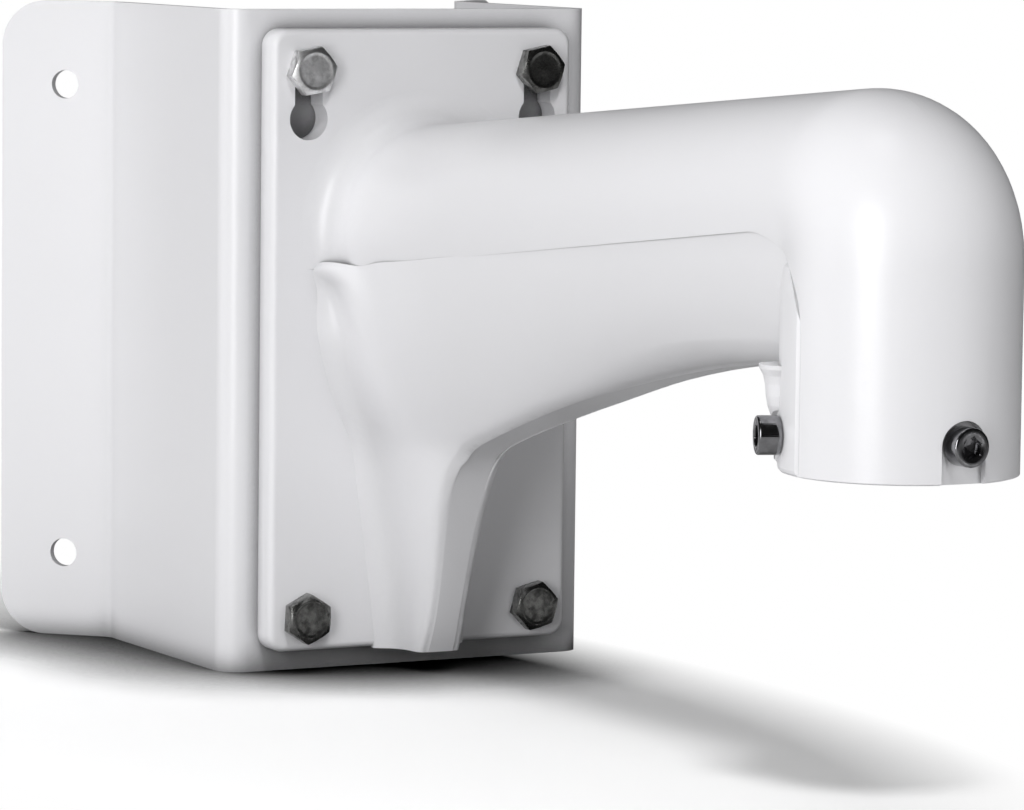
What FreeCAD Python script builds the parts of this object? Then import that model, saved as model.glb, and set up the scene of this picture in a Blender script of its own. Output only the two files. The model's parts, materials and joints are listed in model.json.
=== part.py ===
import FreeCAD
import Part
import math
import os

# Camera wall bracket on a corner adapter: a cast arm with a vertical socket collar, bolted to a
# folded steel adapter whose two flanges lie on the two walls of a building's outside corner.
# Millimetres, degrees. +X points out along the arm, +Z up. The origin is on the corner's vertical
# edge at the adapter's mid-height, and the part is symmetric about Y = 0.
# Sizes named *_X run from the adapter's front face, sizes named *_Z from its bottom edge.

V = FreeCAD.Vector

# Corner adapter: one sheet, folded four times.
SHEET = 3.0
ADAPTER_HEIGHT = 194.0
ADAPTER_WIDTH = 119.4
SIDE_DEPTH = 82.5
FLANGE_LENGTH = 36.0
FLANGE_ANGLE = 45.0
FRONT_BEND_RADIUS = 7.0
FLANGE_BEND_RADIUS = 4.0
FLANGE_CORNER_RADIUS = 14.0
FLANGE_HOLE_DIAMETER = 8.6
FLANGE_HOLE_INSET = 15.5
FLANGE_HOLE_SPACING = 143.3
CABLE_HOLE_DIAMETER = 46.0

# Arm plate and its four bolts. The plate leaves a margin of the adapter's front free, and the
# bolts keep their distance from the plate's edges.
PLATE_WIDTH = 98.0
PLATE_THICKNESS = 8.1
PLATE_BOTTOM_Z = 6.4
PLATE_TOP_MARGIN = 5.6
PLATE_HEIGHT = ADAPTER_HEIGHT - PLATE_BOTTOM_Z - PLATE_TOP_MARGIN
PLATE_CORNER_RADIUS = 5.0
PLATE_EDGE_RADIUS = 2.0
BOLT_Y = PLATE_WIDTH / 2.0 - 11.4
BOLT_TOP_Z = PLATE_BOTTOM_Z + PLATE_HEIGHT - 12.0
BOLT_BOTTOM_Z = PLATE_BOTTOM_Z + 9.8
BOLT_CLEARANCE_DIAMETER = 9.0
KEYHOLE_DROP = 14.1
KEYHOLE_DIAMETER = 12.2

# Arm tube, elbow and socket collar. Along the arm the upper shell stands STEP_DEPTH proud of
# the lower one. Down the collar the rear half stands proud of the front half instead, by
# COLLAR_REAR_RISE, and the two levels cross at the step's corner.
TUBE_RADIUS = 30.25
TUBE_TILT = 4.9
COLLAR_X = 272.7
COLLAR_BOTTOM_Z = 84.9
BEND_RADIUS = 12.3
BEND_Z = 138.75
ROOT_FILLET = 9.5
STEP_DEPTH = 1.0
STEP_ROOT_Z = 118.7
STEP_SLOPE = 6.25
STEP_COLLAR_LEAD = 1.0
STEP_CORNER_RADIUS = 26.0
COLLAR_REAR_RISE = 0.6
COLLAR_REAR_BEVEL = 1.2
COLLAR_CROSS_Z = 137.0
COLLAR_FULL_Z = 130.5
RIM_ROUND = 1.6
PASSAGE_RADIUS = 24.0
PASSAGE_OVERRUN = 7.5
PASSAGE_MOUTH_CHAMFER = 1.0

# Gusset under the arm: the half-widths and the outline of its front and under edge.
LEG_HALF_WIDTH = 6.5
LEG_FOOT_Z = 6.0
LEG_ROOT_WIDEN = 1.4
LEG_ROOT_GROWTH = 0.13
LEG_DRAFT = 0.21
WEB_ROOT_Z = 68.0
LEG_FOOT_X = 22.4
SHIN_X = 31.9
SHIN_Z = 36.0
KNEE_X = 47.5
KNEE_Z = 65.9
THIGH_X = 63.5
THIGH_Z = 73.0
BELLY_X = 137.0
BELLY_Z = 93.5
HOLLOW_X = 196.0
HOLLOW_Z = 105.2
ARMPIT_Z = 109.2
UNDER_EDGE_ROUND = 3.0
FLARE_RADIUS = 8.9
STEP_OVERLAP = 0.4

# Where the arm's lower half opens from a narrow web into a full round, and how finely its side
# surface is measured out: columns along the gusset and the arm, rows over the under edge, up the
# flank and through the fillet.
OPENING_START_X = 40.0
OPENING_END_X = 215.0
WEB_FADE_START_X = 110.0
WEB_FADE_END_X = 200.0
LEG_COLUMN_COUNT = 12
ARM_COLUMN_COUNT = 16
EDGE_ROW_COUNT = 3
FLANK_ROW_COUNT = 6
FILLET_ROW_COUNT = 4

# Screw seats on the collar: a flat seat sunk in front and two bosses behind.
SCREW_Z = 94.55
SCREW_ANGLES = (0.0, 110.0, -110.0)
SEAT_RADIUS = 6.4
FRONT_SEAT_OFFSET = 27.6
REAR_SEAT_OFFSET = 30.85
BOSS_OFFSET = 28.4
BOSS_LAG_ANGLE = 12.0
BOSS_OUTLINE = ((2.0, 86.5), (3.3, 88.0), (3.6, 96.0), (4.3, 99.0), (5.2, 101.6),
                (5.6, 104.0), (5.85, 107.0), (6.4, 109.2), (7.3, 110.9), (7.5, 112.0))
SEAT_FLARE = 1.2

# Hexagon bolts, washers and nuts, M8.
BOLT_DIAMETER = 8.0
BOLT_HEAD_HEIGHT = 4.8
BOLT_ACROSS_FLATS = 13.0
BOLT_LENGTH = 25.0
BOLT_TURNS = (10.5, 11.8, 14.4, 27.1)
WASHER_DIAMETER = 16.0
WASHER_THICKNESS = 1.6
WASHER_BORE = 8.4
SPRING_WASHER_DIAMETER = 13.4
SPRING_WASHER_THICKNESS = 2.0
SPRING_WASHER_BORE = 8.3
SPRING_WASHER_GAP = 1.2
NUT_HEIGHT = 6.5
NUT_BORE = 8.0

# Socket cap screws, M6.
CAP_HEAD_DIAMETER = 10.0
CAP_HEAD_HEIGHT = 6.0
CAP_HEAD_CHAMFER = 0.5
CAP_SHANK_DIAMETER = 6.0
CAP_SHANK_LENGTH = 3.4
CAP_SOCKET_FLATS = 5.0
CAP_SOCKET_DEPTH = 3.0

# Where the front face and the adapter's bottom lie in the part's own frame.
FRONT_X = SIDE_DEPTH - ADAPTER_WIDTH / 2.0 + SHEET * math.sqrt(2.0)
BOTTOM_Z = -ADAPTER_HEIGHT / 2.0
TO_FRAME = V(FRONT_X, 0.0, BOTTOM_Z)


def smooth(value, low, high):
    """0 below low, 1 above high, an eased ramp between."""
    t = min(1.0, max(0.0, (value - low) / (high - low)))
    return t * t * (3.0 - 2.0 * t)


def mix(a, b, t):
    """The value the share t of the way from a to b."""
    return a + (b - a) * t


def cylinder(radius, length, base, direction):
    """A solid cylinder from base along direction."""
    return Part.makeCylinder(radius, length, base, direction)


def line(a, b):
    """A straight edge."""
    return Part.LineSegment(a, b).toShape()


def polygon_face(points):
    """A planar face inside a closed polygon."""
    return Part.Face(Part.makePolygon(list(points) + [points[0]]))


def rounded_path(points, radii):
    """Edges along an open path in the XY plane whose inner corners are rounded by radii."""
    edges = []
    start = points[0]
    for i in range(1, len(points) - 1):
        corner = points[i]
        back = (points[i - 1] - corner).normalize()
        ahead = (points[i + 1] - corner).normalize()
        half = back.getAngle(ahead) / 2.0
        reach = radii[i - 1] / math.tan(half)
        a = corner + back * reach
        b = corner + ahead * reach
        inward = (back + ahead).normalize()
        mid = corner + inward * (radii[i - 1] / math.sin(half) - radii[i - 1])
        edges.append(line(start, a))
        edges.append(Part.Arc(a, mid, b).toShape())
        start = b
    edges.append(line(start, points[-1]))
    return edges


def offset_corners(points, distance):
    """The corners of an open path moved sideways, to the left of its direction, by distance."""
    ways = []
    for i in range(len(points) - 1):
        ways.append((points[i + 1] - points[i]).normalize())
    moved = [points[0] + V(-ways[0].y, ways[0].x, 0.0) * distance]
    for i in range(1, len(ways)):
        side_a = V(-ways[i - 1].y, ways[i - 1].x, 0.0)
        side_b = V(-ways[i].y, ways[i].x, 0.0)
        both = side_a + side_b
        moved.append(points[i] + both * (2.0 * distance / both.dot(both)))
    moved.append(points[-1] + V(-ways[-1].y, ways[-1].x, 0.0) * distance)
    return moved


def flange_direction(side):
    """The way a flange runs back and out from its bend, on the side +1 or -1."""
    angle = math.radians(FLANGE_ANGLE)
    return V(-math.cos(angle), side * math.sin(angle), 0.0)


def flange_normal(side):
    """The direction a flange's visible face looks in."""
    angle = math.radians(FLANGE_ANGLE)
    return V(math.sin(angle), side * math.cos(angle), 0.0)


def flange_bend(side):
    """The virtual corner between a side wall's outer face and its flange's visible face."""
    return V(FRONT_X - SIDE_DEPTH, side * ADAPTER_WIDTH / 2.0, 0.0)


def make_adapter():
    """The folded sheet with its flange holes, bolt holes and cable hole."""
    half = ADAPTER_WIDTH / 2.0
    outside = [
        flange_bend(-1) + flange_direction(-1) * FLANGE_LENGTH,
        flange_bend(-1),
        V(FRONT_X, -half, 0.0),
        V(FRONT_X, half, 0.0),
        flange_bend(1),
        flange_bend(1) + flange_direction(1) * FLANGE_LENGTH,
    ]
    inside = offset_corners(outside, SHEET)
    outer_radii = [FLANGE_BEND_RADIUS, FRONT_BEND_RADIUS, FRONT_BEND_RADIUS, FLANGE_BEND_RADIUS]
    inner_radii = []
    for radius, turn in zip(outer_radii, (1, -1, -1, 1)):
        inner_radii.append(radius + turn * SHEET)
    edges = rounded_path(outside, outer_radii)
    edges.append(line(outside[-1], inside[-1]))
    edges.extend(rounded_path(inside, inner_radii))
    edges.append(line(inside[0], outside[0]))
    profile = Part.Face(Part.Wire(Part.__sortEdges__(edges)))
    profile.translate(V(0.0, 0.0, BOTTOM_Z))
    body = profile.extrude(V(0.0, 0.0, ADAPTER_HEIGHT))

    reach = abs(outside[0].y) - 2.0 * SHEET
    corners = []
    for edge in body.Edges:
        box = edge.BoundBox
        if edge.Length < 1.5 * SHEET and abs(box.Center.y) > reach and box.ZLength < 0.01:
            corners.append(edge)
    body = body.makeFillet(FLANGE_CORNER_RADIUS, corners)

    for side in (-1, 1):
        for up in (-0.5, 0.5):
            middle = flange_bend(side) + flange_direction(side) * FLANGE_HOLE_INSET
            middle = middle + V(0.0, 0.0, up * FLANGE_HOLE_SPACING)
            start = middle + flange_normal(side) * SHEET
            body = body.cut(cylinder(FLANGE_HOLE_DIAMETER / 2.0, 3.0 * SHEET, start,
                                     flange_normal(side) * -1.0))
    for centre in bolt_centres():
        body = body.cut(cylinder(BOLT_CLEARANCE_DIAMETER / 2.0, 3.0 * SHEET,
                                 centre + V(-2.0 * SHEET, 0.0, 0.0), V(1, 0, 0)))
    root = passage_root()
    body = body.cut(cylinder(CABLE_HOLE_DIAMETER / 2.0, 3.0 * SHEET,
                             root + V(-2.0 * SHEET, 0.0, 0.0), V(1, 0, 0)))
    return body


def bolt_centres():
    """Where the bolts' axes pass the adapter's front face: top left, top right, bottom right,
    bottom left, seen from the front with +Y to the right."""
    centres = []
    for y, z in ((-BOLT_Y, BOLT_TOP_Z), (BOLT_Y, BOLT_TOP_Z),
                 (BOLT_Y, BOLT_BOTTOM_Z), (-BOLT_Y, BOLT_BOTTOM_Z)):
        centres.append(V(FRONT_X, y, BOTTOM_Z + z))
    return centres


def tube_axis():
    """The arm tube's unit direction, from the elbow back to the plate."""
    tilt = math.radians(TUBE_TILT)
    return V(-math.cos(tilt), 0.0, -math.sin(tilt))


def bend_centre():
    """The centre of the elbow's bend, level with the collar's upper end."""
    return V(COLLAR_X - BEND_RADIUS, 0.0, BEND_Z)


def bend_start():
    """Where the tube's straight axis runs into the bend."""
    axis = tube_axis()
    return bend_centre() + V(axis.z, 0.0, -axis.x) * BEND_RADIUS


def axis_z(x):
    """The height of the tube's straight axis at a distance x from the adapter's face."""
    start = bend_start()
    return start.z - (start.x - x) * math.tan(math.radians(TUBE_TILT))


def bent_pipe(radius, back, down):
    """A round bar along the arm's axis: the straight tube, back from the bend by a length, the
    bend itself without the share inside its axis, and the collar, down by a length."""
    centre = bend_centre()
    start = bend_start()
    pipe = cylinder(radius, back, start, tube_axis())
    disc = Part.Face(Part.Wire(Part.makeCircle(radius, V(COLLAR_X, 0.0, BEND_Z), V(0, 0, 1))))
    far = COLLAR_X + 2.0 * radius
    wide = 2.0 * radius
    window = polygon_face([V(centre.x, -wide, BEND_Z), V(far, -wide, BEND_Z),
                           V(far, wide, BEND_Z), V(centre.x, wide, BEND_Z)])
    section = disc.common(window)
    bend = section.revolve(centre, V(0, -1, 0), 90.0 + TUBE_TILT)
    collar = cylinder(radius, down, V(COLLAR_X, 0.0, BEND_Z), V(0, 0, -1))
    return pipe.fuse(bend).fuse(collar)


def passage_root():
    """Where the cable passage's axis meets the adapter's front face."""
    return V(0.0, 0.0, axis_z(0.0)) + TO_FRAME


def make_passage():
    """The cable's way through the casting: a core along the tube and one up the collar, each
    with a ball end that overruns the bend's start a little, so that they meet in the elbow."""
    length = COLLAR_X / math.cos(math.radians(TUBE_TILT)) + 10.0
    tube_end = bend_start() - tube_axis() * PASSAGE_OVERRUN
    collar_end = V(COLLAR_X, 0.0, BEND_Z + PASSAGE_OVERRUN)
    low = V(COLLAR_X, 0.0, COLLAR_BOTTOM_Z - 5.0)
    core = cylinder(PASSAGE_RADIUS, length, tube_end, tube_axis())
    core = core.fuse(Part.makeSphere(PASSAGE_RADIUS, tube_end))
    core = core.fuse(cylinder(PASSAGE_RADIUS, (collar_end - low).Length, low, V(0, 0, 1)))
    return core.fuse(Part.makeSphere(PASSAGE_RADIUS, collar_end))


def step_z(x):
    """The height of the step between the two shells along the arm's side."""
    return STEP_ROOT_Z + (x - PLATE_THICKNESS) * math.tan(math.radians(STEP_SLOPE))


def upper_region():
    """The space above the step line and in front of its turn down the collar."""
    wide = 2.0 * TUBE_RADIUS
    drop_x = COLLAR_X + STEP_COLLAR_LEAD
    edge_points = [V(0.0, step_z(0.0), 0.0), V(drop_x, step_z(drop_x), 0.0),
                   V(drop_x, 0.0, 0.0)]
    edges = rounded_path(edge_points, [STEP_CORNER_RADIUS])
    far = COLLAR_X + wide
    top = BEND_Z + 2.0 * wide
    edges.append(line(V(drop_x, 0.0, 0.0), V(far, 0.0, 0.0)))
    edges.append(line(V(far, 0.0, 0.0), V(far, top, 0.0)))
    edges.append(line(V(far, top, 0.0), V(0.0, top, 0.0)))
    edges.append(line(V(0.0, top, 0.0), V(0.0, step_z(0.0), 0.0)))
    face = Part.Face(Part.Wire(Part.__sortEdges__(edges)))
    face.rotate(V(0, 0, 0), V(1, 0, 0), 90.0)
    face.translate(V(0.0, wide, 0.0))
    return face.extrude(V(0.0, -2.0 * wide, 0.0))


def make_plate():
    """The arm's back plate with rounded corners and a rounded front edge."""
    plate = Part.makeBox(PLATE_THICKNESS, PLATE_WIDTH, PLATE_HEIGHT,
                         V(0.0, -PLATE_WIDTH / 2.0, PLATE_BOTTOM_Z))
    corners = [e for e in plate.Edges if e.BoundBox.XLength > PLATE_THICKNESS / 2.0]
    plate = plate.makeFillet(PLATE_CORNER_RADIUS, corners)
    front = [e for e in plate.Edges if e.BoundBox.XMin > PLATE_THICKNESS - 0.01]
    return plate.makeFillet(PLATE_EDGE_RADIUS, front)


def make_upper_shell():
    """Tube, elbow and collar above and in front of the step, with the fillet on the plate."""
    length = bend_start().x / math.cos(math.radians(TUBE_TILT)) - PLATE_THICKNESS / 2.0
    pipe = bent_pipe(TUBE_RADIUS, length, BEND_Z - COLLAR_BOTTOM_Z)
    slab = Part.makeBox(PLATE_THICKNESS - 1.0, PLATE_WIDTH - 8.0, PLATE_HEIGHT - 8.0,
                        V(1.0, 4.0 - PLATE_WIDTH / 2.0, PLATE_BOTTOM_Z + 4.0))
    rooted = slab.fuse(pipe)
    ring = []
    for edge in rooted.Edges:
        box = edge.BoundBox
        on_face = abs(box.XMin - PLATE_THICKNESS) < 0.01 and box.XLength < 0.01
        if on_face and TUBE_RADIUS < box.YLength < 2.1 * TUBE_RADIUS:
            ring.append(edge)
    rooted = rooted.makeFillet(ROOT_FILLET, ring)
    return rooted.common(upper_region())


def under_edge():
    """The outline of the gusset's front and of the arm's underside, from foot to collar."""
    points = [
        V(LEG_FOOT_X - 0.3, 0.0, LEG_FOOT_Z),
        V(SHIN_X, 0.0, SHIN_Z),
        V(KNEE_X, 0.0, KNEE_Z),
        V(THIGH_X, 0.0, THIGH_Z),
        V(BELLY_X, 0.0, BELLY_Z),
        V(HOLLOW_X, 0.0, HOLLOW_Z),
        V(COLLAR_X, 0.0, ARMPIT_Z),
    ]
    curve = Part.BSplineCurve()
    curve.interpolate(points)
    return curve


def under_z(x):
    """The gusset's lower limit as the lower shell's flanks see it: the underside's line,
    carried on to the plate past the knee."""
    stations = (
        (0.0, WEB_ROOT_Z),
        (THIGH_X - 8.0, THIGH_Z - 3.5),
        (95.0, 81.0),
        (BELLY_X, BELLY_Z),
        (165.0, 100.2),
        (HOLLOW_X, HOLLOW_Z),
        (235.0, 108.0),
        (COLLAR_X + 5.0, ARMPIT_Z),
    )
    for (x0, z0), (x1, z1) in zip(stations, stations[1:]):
        if x <= x1:
            return mix(z0, z1, (x - x0) / (x1 - x0))
    return ARMPIT_Z


def flank(x, z):
    """The lower shell's half-width at a place on its side, fillet apart: round at the tube's
    axis, drawn in to a narrow web near the plate and to a full round near the collar."""
    radius = TUBE_RADIUS - STEP_DEPTH - 0.5 * smooth(x, COLLAR_X - 22.0, COLLAR_X)
    fullness = smooth(x, OPENING_START_X, OPENING_END_X)
    widen = LEG_ROOT_WIDEN + LEG_ROOT_GROWTH * (z - LEG_FOOT_Z)
    widen = widen - min(LEG_DRAFT, widen / 14.0) * (x - PLATE_THICKNESS)
    widen = 0.5 * (widen + math.sqrt(widen * widen + 1.0))
    web = mix(LEG_HALF_WIDTH + widen, 2.0, smooth(x, WEB_FADE_START_X, WEB_FADE_END_X))
    depth = (axis_z(x) - under_z(x)) * mix(1.0, 1.05, fullness)
    t = max(0.0, axis_z(x) - z) / depth
    left = 1.0 - t ** mix(2.2, 2.0, fullness)
    left = 0.5 * (left + math.sqrt(left * left + 0.012))
    return web + (radius - web) * min(1.0, left) ** mix(1.0, 0.5, fullness)


def flare(x):
    """What the fillet on the plate adds to the half-width."""
    radius = FLARE_RADIUS
    gap = min(radius, max(0.03 * radius, x - PLATE_THICKNESS))
    return radius - math.sqrt(radius * radius - (radius - gap) ** 2)


def ray_direction(curve, u):
    """The way from the gusset's outline into the casting: square to the outline, turned level
    at the foot and upright at the collar so that both ends are flat."""
    tangent = curve.tangent(u)[0]
    angle = math.degrees(math.atan2(tangent.x, -tangent.z))
    share = (u - curve.FirstParameter) / (curve.LastParameter - curve.FirstParameter)
    angle = mix(180.0, angle, smooth(share, -0.02, 0.16)) if share < 0.16 else angle
    angle = mix(angle, 90.0, smooth(share, 0.9, 1.0))
    if share <= 0.0:
        angle = 180.0
    return V(math.cos(math.radians(angle)), 0.0, math.sin(math.radians(angle)))


def ray_lengths(start, way):
    """How far a ray runs to the inside of the plate and to just above the step."""
    to_plate = 1.0e6
    if way.x < -0.01:
        to_plate = (PLATE_THICKNESS - 1.5 - start.x) / way.x
    slope = math.tan(math.radians(STEP_SLOPE))
    top = step_z(start.x) + STEP_OVERLAP
    to_step = 1.0e6
    if way.z - slope * way.x > 0.01:
        to_step = (top - start.z) / (way.z - slope * way.x)
    return to_plate, to_step


def spaced(curve, low, high, count):
    """Parameters between two others, closer together where the outline turns."""
    steps = 300
    marks = [0.0]
    params = [mix(low, high, i / float(steps)) for i in range(steps + 1)]
    for a, b in zip(params, params[1:]):
        moved = (curve.value(b) - curve.value(a)).Length
        turned = math.degrees(curve.tangent(a)[0].getAngle(curve.tangent(b)[0]))
        marks.append(marks[-1] + moved / 12.0 + turned / 5.0)
    found = []
    k = 0
    for i in range(count):
        goal = marks[-1] * i / (count - 1.0)
        while k < steps - 1 and marks[k + 1] < goal:
            k += 1
        share = (goal - marks[k]) / (marks[k + 1] - marks[k])
        found.append(mix(params[k], params[k + 1], share))
    return found


def side_point(start, way, distance, drop):
    """A point of the lower shell's +Y side, drawn in by drop."""
    place = start + way * distance
    width = flank(max(place.x, PLATE_THICKNESS), place.z) + flare(place.x)
    return V(place.x, width - drop, place.z)


def side_columns(curve, params, to_plate):
    """Columns of points on the lower shell's +Y side, each along a ray from the gusset's
    outline: first over the rounded under edge, then up the flank, and last through the fillet
    into the plate, or past the step."""
    columns = []
    for u in params:
        start = curve.value(u)
        way = ray_direction(curve, u)
        far = ray_lengths(start, way)[0 if to_plate else 1]
        fullness = smooth(start.x, WEB_FADE_START_X, WEB_FADE_END_X)
        edge = mix(UNDER_EDGE_ROUND, 2.0 * UNDER_EDGE_ROUND, fullness)
        column = []
        for i in range(EDGE_ROW_COUNT):
            turn = math.radians(90.0 * i / EDGE_ROW_COUNT)
            column.append(side_point(start, way, edge * (1.0 - math.cos(turn)),
                                     edge * (1.0 - math.sin(turn))))
        tail = (2.5 + FLARE_RADIUS) / max(0.2, -way.x)
        tail = min(tail, 0.4 * far)
        for i in range(FLANK_ROW_COUNT):
            share = i / float(FLANK_ROW_COUNT)
            column.append(side_point(start, way, mix(edge, far - tail, share), 0.0))
        for i in range(FILLET_ROW_COUNT + 1):
            share = 1.0 - (1.0 - i / float(FILLET_ROW_COUNT)) ** 1.5
            column.append(side_point(start, way, far - tail * (1.0 - share), 0.0))
        columns.append(column)
    return columns


def lower_side():
    """The lower shell's +Y side as one surface, its rays ending on the plate before the corner
    between plate and step and on the step after it."""
    curve = under_edge()
    low = curve.FirstParameter
    high = curve.LastParameter
    for i in range(50):
        middle = 0.5 * (low + high)
        to_plate, to_step = ray_lengths(curve.value(middle), ray_direction(curve, middle))
        if to_plate < to_step:
            low = middle
        else:
            high = middle
    leg = side_columns(curve, spaced(curve, curve.FirstParameter, low, LEG_COLUMN_COUNT),
                       True)
    belly = side_columns(curve, spaced(curve, low, curve.LastParameter, ARM_COLUMN_COUNT),
                         False)
    surface = Part.BSplineSurface()
    surface.interpolate(leg + belly[1:])
    return surface


def make_lower_body():
    """Gusset and lower arm: two mirrored sides, closed by the strips between them."""
    side = lower_side().toShape()
    faces = [side, side.mirror(V(0, 0, 0), V(0, 1, 0))]
    for edge in side.Edges:
        twin = edge.mirror(V(0, 0, 0), V(0, 1, 0))
        if edge.BoundBox.ZMax < LEG_FOOT_Z + 0.5:
            a = edge.valueAt(edge.FirstParameter)
            b = edge.valueAt(edge.LastParameter)
            ends = [line(a, V(a.x, -a.y, a.z)), line(b, V(b.x, -b.y, b.z))]
            faces.append(Part.Face(Part.Wire(Part.__sortEdges__([edge, twin] + ends))))
        else:
            faces.append(Part.makeRuledSurface(edge, twin))
    shell = Part.Shell(Part.makeCompound(faces).Faces)
    shell.sewShape()
    body = Part.Solid(shell)
    if body.Volume < 0.0:
        body.reverse()
    return body


def radial(angle):
    """The unit direction out of the collar at an angle from +X."""
    return V(math.cos(math.radians(angle)), math.sin(math.radians(angle)), 0.0)


def seat_offset(angle):
    """How far a screw's seat is from the collar's axis."""
    return FRONT_SEAT_OFFSET if angle == 0.0 else REAR_SEAT_OFFSET


def collar_point(distance, angle, z):
    """A place at a distance and an angle from the collar's axis."""
    return V(COLLAR_X, 0.0, z) + radial(angle) * distance


def seat_cutter(angle):
    """The space over a screw's seat, an arch that is open down to the rim."""
    base = collar_point(seat_offset(angle), angle, SCREW_Z)
    out = radial(angle)
    side = V(-out.y, out.x, 0.0)
    depth = 12.0
    grow = V(0.0, 0.0, 0.0 if angle == 0.0 else SEAT_FLARE * depth / 4.0)
    top = V(0.0, 0.0, SEAT_RADIUS)
    profile = polygon_face([
        base,
        base + top,
        base + top + out * depth + grow,
        base + out * depth,
    ])
    arch = profile.revolve(base, out, 360.0)
    half = side * SEAT_RADIUS
    drop = V(0.0, 0.0, COLLAR_BOTTOM_Z - 2.0 - SCREW_Z)
    floor = polygon_face([base - half, base + half, base + half + drop, base - half + drop])
    return arch.fuse(floor.extrude(out * depth))


def spun(outline, centre):
    """A solid of revolution about an upright axis, from (radius, height) pairs."""
    points = [V(centre.x, centre.y, outline[0][1])]
    for radius, z in outline:
        points.append(V(centre.x + radius, centre.y, z))
    points.append(V(centre.x, centre.y, outline[-1][1]))
    return polygon_face(points).revolve(centre, V(0, 0, 1), 360.0)


def make_rear_collar():
    """The collar's rear half with its two screw bosses. It swells from the front half's radius
    at the step's corner to its own, ends along the step in a bevel, and each boss flares into
    the arm above and draws in towards the rim."""
    inner = TUBE_RADIUS - STEP_DEPTH
    outer = TUBE_RADIUS + COLLAR_REAR_RISE
    axis = V(COLLAR_X, 0.0, 0.0)
    rear = spun([(outer, COLLAR_BOTTOM_Z), (outer, COLLAR_FULL_Z),
                 (TUBE_RADIUS, COLLAR_CROSS_Z), (inner, BEND_Z)], axis)
    rear = rear.cut(upper_region())
    for side in (-1.0, 1.0):
        start = V(COLLAR_X + STEP_COLLAR_LEAD - COLLAR_REAR_BEVEL, side * outer, 0.0)
        ahead = 4.0 * COLLAR_REAR_BEVEL
        wedge = polygon_face([start, start + V(ahead, 0.0, 0.0),
                              start + V(ahead, -side * ahead, 0.0)])
        rear = rear.cut(wedge.extrude(V(0.0, 0.0, COLLAR_CROSS_Z)))
    for angle in SCREW_ANGLES[1:]:
        lag = math.copysign(BOSS_LAG_ANGLE, angle)
        foot = collar_point(BOSS_OFFSET, angle + lag, 0.0)
        rear = rear.fuse(spun(BOSS_OUTLINE, foot))
    return rear


def rim_cutter():
    """The ring that eases the collar's lower outer edge in three slopes."""
    z = COLLAR_BOTTOM_Z
    outer = TUBE_RADIUS + COLLAR_REAR_RISE
    outline = [V(COLLAR_X + outer - RIM_ROUND, 0.0, z - 1.0),
               V(COLLAR_X + outer + 6.0, 0.0, z - 1.0),
               V(COLLAR_X + outer + 6.0, 0.0, z + RIM_ROUND)]
    for i in range(4):
        turn = math.radians(30.0 * i)
        outline.append(V(COLLAR_X + outer - RIM_ROUND * (1.0 - math.cos(turn)), 0.0,
                         z + RIM_ROUND * (1.0 - math.sin(turn))))
    return polygon_face(outline).revolve(V(COLLAR_X, 0.0, z), V(0, 0, 1), 360.0)


def make_arm():
    """The casting: plate, upper shell, lower body, collar with its seats, passage and holes."""
    arm = make_lower_body().fuse(make_upper_shell())
    arm = arm.fuse(make_rear_collar())
    arm = arm.fuse(make_plate())
    arm = arm.cut(rim_cutter())

    arm = arm.cut(make_passage())
    mouth = Part.makeCone(PASSAGE_RADIUS + PASSAGE_MOUTH_CHAMFER, PASSAGE_RADIUS,
                          PASSAGE_MOUTH_CHAMFER, V(COLLAR_X, 0.0, COLLAR_BOTTOM_Z))
    arm = arm.cut(mouth)

    for angle in SCREW_ANGLES:
        arm = arm.cut(seat_cutter(angle))
        hole = cylinder(CAP_SHANK_DIAMETER / 2.0, 16.0, collar_point(20.0, angle, SCREW_Z),
                        radial(angle))
        arm = arm.cut(hole)

    through = PLATE_THICKNESS * 3.0
    for centre in bolt_centres():
        start = centre - TO_FRAME + V(-PLATE_THICKNESS, 0.0, 0.0)
        arm = arm.cut(cylinder(BOLT_CLEARANCE_DIAMETER / 2.0, through, start, V(1, 0, 0)))
        if start.z < BOLT_TOP_Z - 1.0:
            continue
        low = start - V(0.0, 0.0, KEYHOLE_DROP)
        arm = arm.cut(cylinder(KEYHOLE_DIAMETER / 2.0, through, low, V(1, 0, 0)))
        slot = Part.makeBox(through, BOLT_CLEARANCE_DIAMETER, KEYHOLE_DROP,
                            low - V(0.0, BOLT_CLEARANCE_DIAMETER / 2.0, 0.0))
        arm = arm.cut(slot)
    arm.translate(TO_FRAME)
    return arm


def hexagon(flats, turn):
    """The six corners of a hexagon about the X axis, turned by an angle."""
    radius = flats / math.sqrt(3.0)
    corners = []
    for i in range(6):
        angle = math.radians(turn + 60.0 * i)
        corners.append(V(0.0, radius * math.cos(angle), radius * math.sin(angle)))
    return corners


def chamfer_cone(flats, height):
    """The cone that takes a hexagon's corners off at its outer end, at the height."""
    radius = flats / math.sqrt(3.0)
    flat = flats / 2.0 * 0.96
    rise = (radius - flat) * math.tan(math.radians(30.0))
    way = math.copysign(1.0, height)
    outline = [V(0.0, 0.0, 0.0), V(0.0, 2.0 * radius, 0.0),
               V(height - way * rise, 2.0 * radius, 0.0), V(height - way * rise, radius, 0.0),
               V(height, flat, 0.0), V(height, 0.0, 0.0)]
    return polygon_face(outline).revolve(V(0, 0, 0), V(1, 0, 0), 360.0)


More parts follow.
